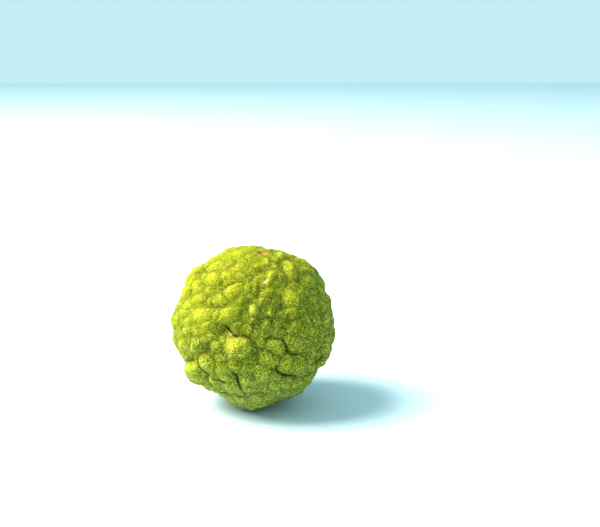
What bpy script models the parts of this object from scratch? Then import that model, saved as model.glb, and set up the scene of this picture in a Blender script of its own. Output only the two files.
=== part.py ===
"""One whole makrut lime, a small round citrus fruit whose rind is crowded with warts.

The fruit is one closed body: a ball whose surface is raised by a formula. Each wart is a bell on an
oval foot, and where bells meet the higher one wins, softly near the stem and more sharply low down,
which leaves a valley between them. The warts of the front face are set out one by one; the rest are
drawn by a seeded rule.

Metres, +Z up. The origin is on the small flat spot that the fruit rests on, straight below the
middle of the fruit, and the front face looks towards -Y.
"""

import math
import random

import bmesh
import bpy
import numpy as np
from mathutils import Matrix, Vector, noise

MM = 0.001

# The ball under the warts
BODY_RADIUS = 27.4 * MM
CENTRE_HEIGHT = 28.15 * MM
BODY_WAVE_LENGTH = 19 * MM
BODY_WAVE_RISE = 0.7 * MM
FLAT_SPOT_RADIUS = 5.5 * MM
FLAT_SPOT_BLEND = 2.5 * MM

# The mesh: an icosphere, turned so that its even lattice lines up with nothing, then divided further
BALL_DIVISIONS = 4
BALL_EDGE_CUTS = 2
BALL_TURN = math.radians(23)
BALL_TURN_AXIS = (1, 2, 0.5)

# The front face: a disc that leans back, on which places are given across and up in millimetres
FACE_LEAN = math.radians(16)
FACE_RADIUS = 29 * MM
FACE_EDGE = 0.995  # share of the disc's radius at which places beyond its edge are put
LEAST_FORESHORTENING = 0.5

# Stem end, a place on the face disc, and the scar that the stalk left there
STEM = (3.0, 26.0)
SCAR_RADIUS = 1.5 * MM
SCAR_DEPTH = 0.25 * MM
SCAR_RIM_RISE = 0.3 * MM
# in scar radii: where its rim stands, how wide the rim is, where the warts begin and the rim has ended
SCAR_RIM_AT = 1.15
SCAR_RIM_WIDTH = 0.3
SCAR_CLEARS_TO = 1.6
SCAR_ENDS_AT = 2.2
SCAR_CROWDING = 0.6  # a drawn wart's centre stays this many of its sizes from the scar

# Swellings of the ball, and hollows where the rise is negative: across, up, half width, rise
SWELLINGS = [
    (22, 19.5, 5, 1.4),
    (-22.5, 19.5, 5, 1.0),
    (-27.5, 12.5, 4, -1.2),
    (-27, -11.8, 3, -3.8),
    (-24, -17, 4, 1.0),
    (-14, -26, 7, -2.3),
    (-1, -29, 4, 0.4),
    (9, -28, 5, -1.7),
    (22, -19, 6, -1.2),
    (24.6, -16.4, 2, -1.4),
    (-5, 29, 6, 0.5),
    (-10.0, -1.7, 2.8, -1.9),
    (-3.6, -2.2, 1.7, -0.9),
    (-16.0, -6.8, 1.5, -0.9),
    (1.8, -5.0, 1.9, -1.2),
    (0.6, -9.6, 1.7, -1.1),
    (-18.6, -8.4, 1.7, -0.8),
    (-21.6, -11.0, 1.4, -0.8),
    (-3.2, 4.4, 1.7, -0.9),
    (0.9, 10.4, 1.6, -0.8),
    (-0.8, 8.2, 1.2, -0.5),
    (2.8, 18.8, 1.5, -0.7),
    (-0.4, 16.4, 1.4, -0.6),
    (3.2, 23.0, 1.5, -0.6),
    (9.0, 12.0, 1.8, -0.5),
    (9.2, 6.6, 1.6, -0.6),
    (12.0, 15.0, 1.6, -0.7),
    (15.8, 15.4, 1.4, -0.6),
    (11.4, 1.6, 1.6, -0.4),
    (-10.7, 14.6, 1.5, -0.7),
    (-18.0, 18.0, 1.8, -0.5),
    (-5.8, 22.6, 1.4, -0.4),
    (23.0, 5.2, 1.4, -0.5),
    (-7.4, -16.4, 1.5, -0.6),
    (-16.9, -16.6, 1.3, -0.6),
]
SWELLING_DEPTH = 2.5  # in half widths, away from the face disc

# Warts of the front face: across, up, half length, half width, turn of the length from level in
# degrees, rise
FACE_WARTS = [
    # crown
    (-12.8, 24.8, 4.2, 1.8, 38, 1.2),
    (-5.5, 27.4, 3.2, 1.3, 15, 1.0),
    (-4.3, 25.2, 3.8, 1.7, 22, 1.1),
    (0.3, 28.4, 2.2, 1.2, 0, 1.3),
    (5.6, 27.4, 2.3, 1.2, -10, 1.0),
    (-0.9, 23.6, 1.9, 1.8, 0, 1.1),
    (-3.4, 22.8, 1.9, 1.7, 0, 1.0),
    (-4.6, 20.2, 3.6, 1.7, 5, 1.2),
    (2.1, 20.9, 2.6, 1.7, 25, 1.0),
    (7.8, 23.3, 1.8, 1.7, 0, 1.0),
    (10.0, 24.9, 2.6, 1.6, -50, 1.5),
    (13.0, 19.4, 3.6, 2.2, 98, 1.8),
    (13.6, 25.0, 2.2, 1.3, -40, 1.0),
    (17.6, 22.3, 3.0, 1.7, -32, 1.6),
    (18.0, 19.3, 2.3, 1.7, -20, 1.1),
    # left brow
    (-13.4, 21.0, 3.7, 2.1, 20, 1.2),
    (-20.1, 19.8, 2.9, 2.4, 28, 1.5),
    (-13.8, 16.4, 3.1, 2.6, 20, 1.6),
    (-23.0, 16.8, 2.0, 1.9, 0, 1.2),
    (-19.2, 14.0, 2.5, 1.9, 85, 1.5),
    (-24.5, 12.3, 3.1, 2.4, 20, 1.6),
    (-8.7, 18.0, 2.8, 1.7, 5, 1.1),
    (-8.6, 15.7, 2.4, 1.7, 10, 0.8),
    (-18.8, 9.4, 3.3, 2.0, 30, 1.3),
    (-22.6, 7.4, 3.1, 1.9, 35, 1.1),
    (-26.4, 8.8, 2.7, 1.6, 75, 1.3),
    (-14.0, 9.4, 2.5, 1.7, 10, 0.8),
    # middle
    (-4.2, 17.4, 2.0, 1.7, 0, 1.1),
    (-0.6, 19.0, 2.2, 1.7, 0, 0.9),
    (6.0, 16.8, 2.7, 1.8, 55, 1.5),
    (9.0, 17.1, 2.0, 1.7, 0, 1.0),
    (-7.0, 12.0, 3.9, 2.3, 25, 1.5),
    (-11.2, 9.2, 3.0, 2.3, 10, 1.3),
    (-1.9, 13.0, 2.2, 2.0, 25, 1.2),
    (-4.4, 9.0, 2.0, 1.7, 0, 0.8),
    (8.0, 14.8, 2.4, 1.7, 0, 0.8),
    (4.7, 11.7, 2.3, 1.8, 0, 1.3),
    (3.2, 9.2, 2.2, 1.7, 40, 1.1),
    (0.0, 5.6, 2.1, 2.0, 0, 1.9),
    (2.9, 4.0, 1.9, 1.7, 0, 0.9),
    (5.9, 5.4, 2.1, 1.7, 85, 1.1),
    (7.1, 8.6, 2.2, 1.7, 0, 0.8),
    (0.1, 2.3, 1.9, 1.7, 0, 0.9),
    (3.9, 0.2, 2.2, 1.7, 80, 1.4),
    (8.7, 0.9, 1.9, 1.7, 0, 0.8),
    # left cheek
    (-17.0, 4.4, 3.6, 2.6, 10, 1.6),
    (-24.0, 5.2, 2.1, 1.9, 0, 1.2),
    (-12.4, 4.2, 2.0, 1.9, 0, 1.2),
    (-8.6, 4.2, 3.7, 3.0, 20, 1.8),
    (-15.6, 1.4, 3.6, 1.8, 12, 1.0),
    (-22.6, 2.0, 2.6, 1.7, 20, 0.9),
    (-27.0, 2.8, 2.8, 1.5, 85, 1.1),
    (-5.6, 0.9, 2.0, 1.7, -20, 0.8),
    (-1.7, -1.6, 2.5, 2.0, -20, 1.2),
    (-12.3, -1.2, 2.4, 2.0, 0, 0.7),
    (-22.8, -0.7, 2.2, 2.0, 0, 1.2),
    (-19.0, -1.3, 2.3, 1.7, 0, 0.9),
    (-15.4, -3.9, 2.3, 1.7, 0, 0.8),
    (-19.4, -6.2, 3.6, 2.8, 40, 1.9),
    (-25.0, -6.0, 2.8, 1.7, 80, 1.3),
    (-28.0, -4.0, 4.4, 1.2, 98, 1.0),
    (-23.0, -8.2, 1.9, 1.7, 0, 0.9),
    # the most prominent wart and those under it
    (-5.3, -6.9, 4.3, 3.5, -5, 2.8),
    (-12.9, -6.8, 2.3, 2.1, 0, 1.2),
    (-2.0, -11.2, 2.4, 1.6, 0, 0.9),
    (-16.2, -12.3, 3.8, 2.9, -55, 2.0),
    (-11.4, -14.2, 3.2, 2.6, 0, 1.4),
    (-11.2, -10.8, 2.4, 1.9, 0, 1.2),
    (-6.4, -12.7, 2.7, 2.5, 0, 1.3),
    (-2.3, -13.7, 2.2, 1.9, 0, 1.1),
    # right cheek
    (13.0, 9.1, 3.4, 3.0, 90, 1.9),
    (12.6, 5.5, 2.4, 1.8, 80, 1.7),
    (16.3, 11.0, 2.0, 1.4, 80, 1.2),
    (14.0, 14.4, 2.6, 1.4, 0, 0.9),
    (19.2, 15.4, 3.0, 2.1, 0, 1.2),
    (21.2, 11.6, 1.9, 1.4, 0, 1.0),
    (21.3, 8.8, 2.2, 1.8, 0, 1.2),
    (24.6, 7.3, 2.1, 1.8, 0, 1.3),
    (16.4, 6.4, 2.1, 1.5, 85, 0.9),
    (13.7, -0.7, 3.0, 2.1, 40, 1.3),
    (17.9, 2.2, 2.3, 2.1, 0, 1.4),
    (21.8, 2.5, 2.3, 2.0, 90, 1.3),
    (26.0, 2.3, 2.9, 2.0, 75, 1.4),
    (20.4, -1.8, 2.0, 1.9, 0, 1.6),
    (8.2, -2.4, 2.1, 1.5, 0, 1.0),
    (23.5, -3.4, 3.2, 1.5, 85, 0.9),
    (26.4, 10.2, 3.0, 1.5, -65, 1.2),
    (23.9, 15.0, 2.7, 1.6, -60, 1.1),
    # right jaw
    (7.0, -6.5, 3.9, 2.5, -15, 1.6),
    (13.8, -5.6, 4.0, 3.0, -25, 1.4),
    (4.6, -10.9, 3.4, 2.6, -20, 1.6),
    (10.9, -12.2, 3.6, 2.5, 90, 1.8),
    (15.4, -13.2, 3.5, 2.5, 80, 1.3),
    (20.0, -9.0, 3.7, 2.1, 85, 1.3),
    (25.5, -7.4, 3.5, 1.7, 80, 1.5),
    (24.1, -12.8, 3.0, 1.7, 60, 1.8),
    (20.1, -14.2, 2.1, 1.8, 0, 1.3),
    # chin
    (2.9, -15.5, 3.2, 2.8, 70, 1.7),
    (6.3, -16.6, 1.9, 2.1, 0, 1.2),
    (-2.8, -18.1, 3.0, 2.3, 0, 1.6),
    (-9.6, -17.3, 3.2, 1.9, -15, 1.4),
    (-14.5, -18.6, 2.6, 2.1, 0, 1.6),
    (-8.9, -21.4, 3.6, 2.1, -10, 1.4),
    (-13.8, -21.6, 2.0, 1.7, 0, 1.0),
    (-2.5, -21.7, 2.5, 1.5, 0, 1.1),
    (2.1, -21.2, 2.5, 1.4, 0, 1.0),
    (7.2, -20.5, 2.2, 1.8, 0, 1.1),
    (10.7, -19.3, 2.5, 2.1, 0, 1.6),
    (14.6, -19.9, 2.6, 1.9, 0, 1.4),
    (18.7, -18.4, 2.8, 1.5, 45, 1.2),
    (-21.7, -14.7, 3.2, 2.6, 0, 2.0),
    (-20.2, -17.9, 3.1, 1.8, -20, 1.5),
    (-18.2, -21.0, 2.7, 1.3, -25, 1.0),
    (0.3, -25.0, 3.2, 1.6, 0, 1.3),
    (-5.4, -25.7, 3.0, 1.8, -10, 1.3),
    (-1.0, -28.2, 2.6, 1.3, 0, 1.0),
    (5.6, -24.8, 2.5, 1.4, 0, 1.0),
    (10.3, -23.9, 2.8, 1.7, 10, 1.2),
    (15.6, -23.0, 2.6, 1.6, 30, 1.1),
]

# Creases of the front face: depth, then the places that each runs through
FACE_CREASES = [
    (1.1, [(-9.6, 1.1), (-8.2, -0.9), (-6.6, -2.5), (-4.6, -2.9)]),
    (0.4, [(-5.6, -2.7), (-1.6, -3.4), (1.0, -6.2), (0.8, -9.4)]),
    (0.6, [(-20.2, -10.6), (-18.5, -13.9), (-16.8, -16.6)]),
    (0.5, [(-17.2, -16.0), (-16.2, -19.2), (-16.3, -22.0), (-12.4, -23.8), (-8.7, -25.4)]),
    (0.6, [(-15.4, -17.0), (-12.4, -18.4), (-9.8, -19.8)]),
    (0.7, [(-7.7, -15.2), (-6.3, -17.1), (-5.6, -20.2), (-3.9, -23.2), (-0.6, -23.0)]),
    (0.4, [(-9.4, -25.6), (-7.1, -24.2), (-2.2, -24.1), (1.8, -22.9), (6.4, -24.0)]),
    (0.9, [(7.4, -12.4), (7.9, -15.4), (9.4, -16.9), (12.4, -16.7), (15.0, -17.8)]),
    (0.4, [(15.6, -17.9), (19.7, -16.9), (23.0, -15.7)]),
    (0.5, [(20.7, -14.5), (22.9, -12.3), (24.6, -9.8)]),
    (0.6, [(8.4, -4.3), (10.0, -5.8), (10.6, -7.8), (13.2, -9.5), (16.8, -9.3)]),
    (0.4, [(2.8, -4.2), (5.6, -3.8), (8.6, -4.3)]),
    (0.4, [(-24.6, -11.2), (-21.2, -11.9)]),
    (0.3, [(-17.4, 23.1), (-17.2, 20.6), (-16.4, 17.9)]),
    (0.3, [(-13.4, 12.2), (-8.7, 13.9), (-5.8, 14.7), (1.1, 14.5)]),
    (0.25, [(-19.6, 6.3), (-15.8, 7.2), (-12.7, 6.8), (-5.8, 6.3)]),
    (0.25, [(-26.0, 5.8), (-22.1, 10.8), (-21.1, 13.7)]),
    (0.3, [(2.2, 15.4), (2.3, 12.6), (1.4, 9.6)]),
    (0.25, [(9.4, 11.8), (9.7, 8.6), (9.9, 5.2)]),
]
CREASE_HALF_WIDTH = 0.7 * MM
CREASE_TAPER = 4  # higher keeps a crease deep nearer to its ends

# Warts drawn by rule, from large to small: tries, least and most half length in millimetres
DRAWN_WARTS = [
    (1200, 3.2, 3.9),
    (4000, 2.5, 3.2),
    (8000, 1.8, 2.4),
]
DRAW_SEED = 41
NOISE_SEED = 1
WART_SPACING = 0.82
WART_NARROWEST = 0.62
WART_RISE_SHARE = 0.44
WART_RISE_SPREAD = (0.8, 1.2)
STEM_RIDGE_REACH = math.radians(34)
STEM_RIDGE_WIDTH = 0.5
STEM_RIDGE_STRAYING = 0.25  # radians that a ridge may point away from the stem

# The form of every wart
BELL_REACH = 1.45  # in half lengths
BELL_POWER = 1.5
BELL_BOLDNESS = 1.2
BELL_WIDEST = 1.2  # radians
TALLEST = 4.0 * MM
VALLEY_FLOOR = -0.1 * MM
OUTLINE_WAVES = [(5.0 * MM, 1.1 * MM), (2.2 * MM, 0.45 * MM)]  # length, wander

# How sharply bells meet, and what the softness depends on: a middle share, height and patches
SHARP_MEETING = 0.08 * MM
SOFT_MEETING = 0.42 * MM
SOFT_MIDDLE = 0.5
SOFT_WITH_HEIGHT = 0.45
SOFT_WITH_PATCHES = 0.6
SOFT_PATCH = 14 * MM

RIND_COLOUR = (0.20, 0.27, 0.03, 1.0)
RIND_ROUGHNESS = 0.5


def face_axes():
    """Level, up and outward directions of the front face's disc."""
    level = Vector((1, 0, 0))
    up = Vector((0, math.sin(FACE_LEAN), math.cos(FACE_LEAN)))
    outward = Vector((0, -math.cos(FACE_LEAN), math.sin(FACE_LEAN)))
    return level, up, outward


def on_face(across, up):
    """Direction from the fruit's middle to a place on the front face, given in millimetres."""
    level_axis, up_axis, outward_axis = face_axes()
    x = across * MM
    y = up * MM
    farthest = FACE_EDGE * FACE_RADIUS
    off_centre = math.hypot(x, y)
    if off_centre > farthest:
        x *= farthest / off_centre
        y *= farthest / off_centre
    depth = math.sqrt(FACE_RADIUS**2 - x * x - y * y)
    return (x * level_axis + y * up_axis + depth * outward_axis).normalized()


def face_wart(across, up, half_length, half_width, turn, rise):
    """A wart set out on the disc, with its oval spread where the ball curves away from the disc."""
    level_axis, up_axis, outward_axis = face_axes()
    centre = on_face(across, up)
    bearing = math.atan2(up, across)
    rim = math.cos(bearing) * level_axis + math.sin(bearing) * up_axis
    sideways = outward_axis.cross(rim).normalized()
    outwards = sideways.cross(centre).normalized()
    shown = max(centre.dot(outward_axis), LEAST_FORESHORTENING)
    swing = math.radians(turn) - bearing
    along = shown * math.cos(swing) * outwards + math.sin(swing) * sideways
    across_it = -shown * math.sin(swing) * outwards + math.cos(swing) * sideways
    return {
        "centre": centre,
        "along": along / (half_length * MM),
        "across": across_it / (half_width * MM),
        "rise": rise * MM,
        "size": math.sqrt(half_length * half_width / shown) * MM,
        "reach": max(half_length, half_width) / shown * MM,
    }


def drawn_wart(centre, half_length, rng, stem):
    """A wart of the rule: near the stem it is narrow and runs down from it, elsewhere it lies any way."""
    downhill = centre.cross(stem).cross(centre).normalized()
    if centre.angle(stem) < STEM_RIDGE_REACH:
        turn = rng.gauss(0, STEM_RIDGE_STRAYING)
        share = STEM_RIDGE_WIDTH
    else:
        turn = rng.uniform(0, math.pi)
        share = rng.uniform(WART_NARROWEST, 1)
    length_axis = Matrix.Rotation(turn, 3, centre) @ downhill
    half_width = half_length * share
    size = math.sqrt(half_length * half_width)
    return {
        "centre": centre,
        "along": length_axis / half_length,
        "across": centre.cross(length_axis) / half_width,
        "rise": WART_RISE_SHARE * size * rng.uniform(*WART_RISE_SPREAD),
        "size": size,
        "reach": half_length,
    }


def random_direction(rng):
    height = rng.uniform(-1, 1)
    turn = rng.uniform(0, 2 * math.pi)
    level = math.sqrt(1 - height * height)
    return Vector((level * math.cos(turn), level * math.sin(turn), height))


def all_warts():
    """The placed warts, and drawn ones wherever there is room between them."""
    rng = random.Random(DRAW_SEED)
    stem = on_face(*STEM)
    warts = [face_wart(*row) for row in FACE_WARTS]
    centres = np.array([wart["centre"] for wart in warts])
    sizes = np.array([wart["size"] for wart in warts])
    for tries, least, most in DRAWN_WARTS:
        for _ in range(tries):
            centre = random_direction(rng)
            wart = drawn_wart(centre, rng.uniform(least, most) * MM, rng, stem)
            apart = np.arccos(np.minimum(centres @ np.array(centre), 1)) * FACE_RADIUS
            from_scar = centre.angle(stem) * FACE_RADIUS - SCAR_RADIUS
            roomy = apart > WART_SPACING * (sizes + wart["size"])
            if from_scar > SCAR_CROWDING * wart["size"] and roomy.all():
                warts.append(wart)
                centres = np.vstack([centres, centre])
                sizes = np.append(sizes, wart["size"])
    return warts


def ball_noise(directions, wave_length):
    """Smooth noise over the ball, between -1 and 1."""
    places = directions * (FACE_RADIUS / wave_length)
    return np.array([noise.noise(Vector(place)) for place in places])


def wandered(directions):
    """The directions moved a little by smooth noise, so that no wart has an even outline."""
    moved = directions.copy()
    for wave_length, wander in OUTLINE_WAVES:
        places = directions * (FACE_RADIUS / wave_length)
        shifts = np.array([noise.noise_vector(Vector(place)) for place in places])
        moved += shifts * (wander / FACE_RADIUS)
    return moved / np.linalg.norm(moved, axis=1)[:, None]


def meeting_softness(directions):
    """How softly bells meet: softer towards the stem, sharper low down, and varying in patches."""
    share = SOFT_MIDDLE + SOFT_WITH_HEIGHT * directions[:, 2]
    share += SOFT_WITH_PATCHES * ball_noise(directions, SOFT_PATCH)
    return SHARP_MEETING + (SOFT_MEETING - SHARP_MEETING) * np.clip(share, 0, 1)


def wart_relief(directions, warts):
    """Height of the warts over each direction: a soft maximum of their bells."""
    softness = meeting_softness(directions)
    total = np.exp((VALLEY_FLOOR - TALLEST) / softness)
    for wart in warts:
        reach = min(BELL_REACH * wart["reach"] / FACE_RADIUS, BELL_WIDEST)
        near = np.flatnonzero(directions @ np.array(wart["centre"]) > math.cos(reach))
        local = directions[near] * (FACE_RADIUS / BELL_REACH)
        along = local @ np.array(wart["along"])
        across = local @ np.array(wart["across"])
        foot = np.clip(1 - along**2 - across**2, 0, 1)
        bell = BELL_BOLDNESS * wart["rise"] * foot**BELL_POWER
        total[near] += np.exp((bell - TALLEST) / softness[near])
    return TALLEST + softness * np.log(total)


def crease_depth(directions):
    """Depth of the creases, each of which fades towards both ends."""
    places = directions * FACE_RADIUS
    depth = np.zeros(len(directions))
    for deepest, route in FACE_CREASES:
        points = [np.array(on_face(across, up)) * FACE_RADIUS for across, up in route]
        last = len(points) - 1
        for step, (start, end) in enumerate(zip(points, points[1:])):
            run = end - start
            share = np.clip((places - start) @ run / (run @ run), 0, 1)
            gap = np.linalg.norm(places - start - share[:, None] * run, axis=1)
            fading = 1 - (2 * (step + share) / last - 1) ** CREASE_TAPER
            groove = deepest * MM * fading * np.exp(-((gap / CREASE_HALF_WIDTH) ** 2))
            depth = np.maximum(depth, groove)
    return depth


def body_radius(directions):
    """Radius of the ball under the warts, with its slow waves, swellings and hollows."""
    radius = BODY_RADIUS + BODY_WAVE_RISE * ball_noise(directions, BODY_WAVE_LENGTH)
    outward = np.array(face_axes()[2])
    for across, up, half_width, rise in SWELLINGS:
        offset = (directions - np.array(on_face(across, up))) * FACE_RADIUS
        depth = offset @ outward
        level = (offset**2).sum(axis=1) - depth**2
        gap = level + (depth / SWELLING_DEPTH) ** 2
        radius += rise * MM * np.exp(-gap / (half_width * MM) ** 2)
    return radius


def scarred(directions, relief):
    """The relief with a small pit, ringed by a low rim, where the stalk was."""
    stem = np.array(on_face(*STEM))
    gap = np.arccos(np.clip(directions @ stem, -1, 1)) * FACE_RADIUS / SCAR_RADIUS
    cleared = np.clip(SCAR_CLEARS_TO - gap, 0, 1)
    pit = -SCAR_DEPTH * np.clip(1 - gap**2, 0, 1)
    rim = SCAR_RIM_RISE * np.exp(-(((gap - SCAR_RIM_AT) / SCAR_RIM_WIDTH) ** 2))
    return relief * (1 - cleared) + (pit + rim) * np.clip(SCAR_ENDS_AT - gap, 0, 1)


def pressed_flat(points):
    """The points with the underside pressed to the surface that the fruit rests on."""
    off_axis = np.hypot(points[:, 0], points[:, 1])
    share = np.clip((off_axis - FLAT_SPOT_RADIUS) / FLAT_SPOT_BLEND, 0, 1)
    underside = points[:, 2] < CENTRE_HEIGHT / 2
    height = np.maximum(points[:, 2], 0)
    points[:, 2] = np.where(underside, height * share, height)
    return points


def shape_rind(mesh):
    noise.seed_set(NOISE_SEED)
    for vert in mesh.verts:
        vert.co.normalize()
    directions = np.array([vert.co for vert in mesh.verts])
    moved = wandered(directions)
    relief = scarred(directions, wart_relief(moved, all_warts()) - crease_depth(moved))
    points = directions * (body_radius(directions) + relief)[:, None]
    points[:, 2] += CENTRE_HEIGHT
    for vert, point in zip(mesh.verts, pressed_flat(points)):
        vert.co = point


def rind_material():
    material = bpy.data.materials.new("lime_rind")
    material.use_nodes = True
    shader = material.node_tree.nodes["Principled BSDF"]
    shader.inputs["Base Color"].default_value = RIND_COLOUR
    shader.inputs["Roughness"].default_value = RIND_ROUGHNESS
    shader.inputs["Metallic"].default_value = 0.0
    return material


def make_lime(collection):
    rind = bmesh.new()
    bmesh.ops.create_icosphere(rind, subdivisions=BALL_DIVISIONS, radius=1.0)
    turn = Matrix.Rotation(BALL_TURN, 4, Vector(BALL_TURN_AXIS))
    bmesh.ops.transform(rind, matrix=turn, verts=rind.verts)
    bmesh.ops.subdivide_edges(rind, edges=rind.edges, cuts=BALL_EDGE_CUTS, use_grid_fill=True)
    shape_rind(rind)
    mesh = bpy.data.meshes.new("makrut_lime")
    rind.to_mesh(mesh)
    rind.free()
    mesh.shade_smooth()
    mesh.materials.append(rind_material())
    collection.objects.link(bpy.data.objects.new("makrut_lime", mesh))


def main():
    for old in list(bpy.data.objects):
        bpy.data.objects.remove(old, do_unlink=True)
    collection = bpy.data.collections.new("makrut_lime")
    bpy.context.scene.collection.children.link(collection)
    make_lime(collection)


main()
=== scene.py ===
import math
import random

import bmesh
import bpy
import numpy as np
from mathutils import Matrix, Vector, noise


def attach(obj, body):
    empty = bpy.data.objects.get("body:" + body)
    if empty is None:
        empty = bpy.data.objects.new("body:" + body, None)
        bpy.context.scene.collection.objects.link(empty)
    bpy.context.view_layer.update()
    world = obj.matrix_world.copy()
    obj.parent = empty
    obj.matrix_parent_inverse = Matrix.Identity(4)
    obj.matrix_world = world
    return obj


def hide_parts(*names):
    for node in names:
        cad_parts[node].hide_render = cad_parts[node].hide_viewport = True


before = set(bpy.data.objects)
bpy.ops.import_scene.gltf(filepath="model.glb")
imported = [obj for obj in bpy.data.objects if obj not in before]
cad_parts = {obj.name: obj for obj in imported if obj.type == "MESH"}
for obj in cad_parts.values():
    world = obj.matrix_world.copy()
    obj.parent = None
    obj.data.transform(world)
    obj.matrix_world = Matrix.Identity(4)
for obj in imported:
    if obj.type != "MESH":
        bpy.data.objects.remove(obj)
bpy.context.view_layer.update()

mm = 0.001

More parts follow.
